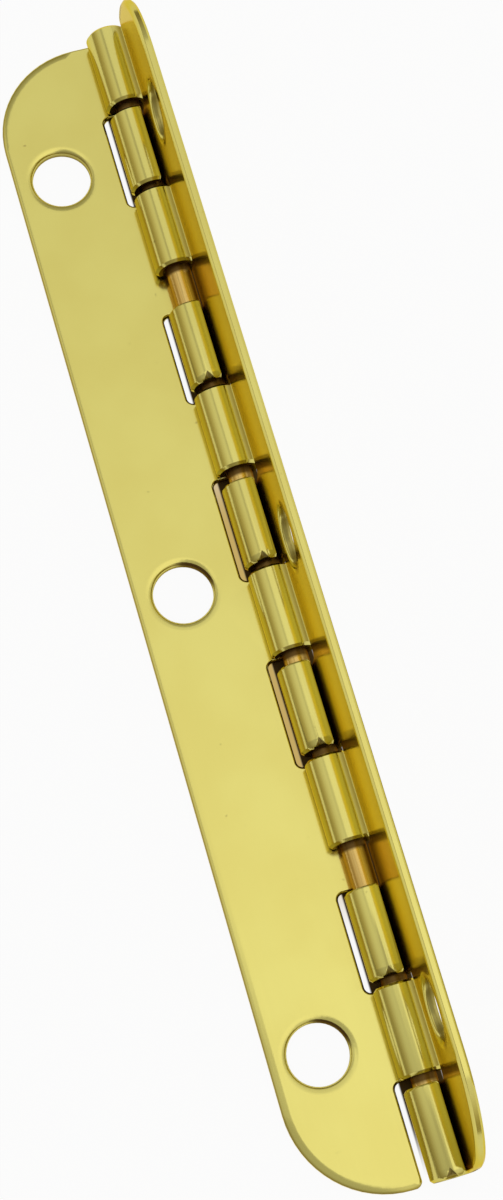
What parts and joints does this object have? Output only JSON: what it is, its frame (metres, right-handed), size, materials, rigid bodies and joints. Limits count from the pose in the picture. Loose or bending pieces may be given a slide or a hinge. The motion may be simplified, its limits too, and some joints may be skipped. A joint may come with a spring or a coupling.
{
  "type": "oval decorative hinge",
  "caption": "Small brass-plated decorative hinge with oval-ended stamped leaves, rolled knuckles on a wire pin and plain screw holes, standing open at a right angle.",
  "frame": {"origin": "centre of the fixed leaf's middle screw hole, on the leaf's back face", "axes": "+Y along the pin, +Z out of the fixed leaf's front face, +X from the screw holes towards the pin"},
  "size_m": [0.0084, 0.065, 0.0084],
  "materials": {
    "leaf_brass": "bright brass plating on stamped sheet",
    "pin_wire": "drawn copper-toned wire"
  },
  "bodies": {
    "fixed_side": {"fixed_leaf": "leaf_brass", "hinge_pin": "pin_wire"},
    "swing_side": {"swing_leaf": "leaf_brass"}
  },
  "joints": [
    {"name": "leaf_swing", "type": "hinge", "parent": "fixed_side", "child": "swing_side", "pos_m": [0.00462, 0, 0.0012], "axis": [0, 1, 0], "range_deg": [-90, 105]}
  ]
}
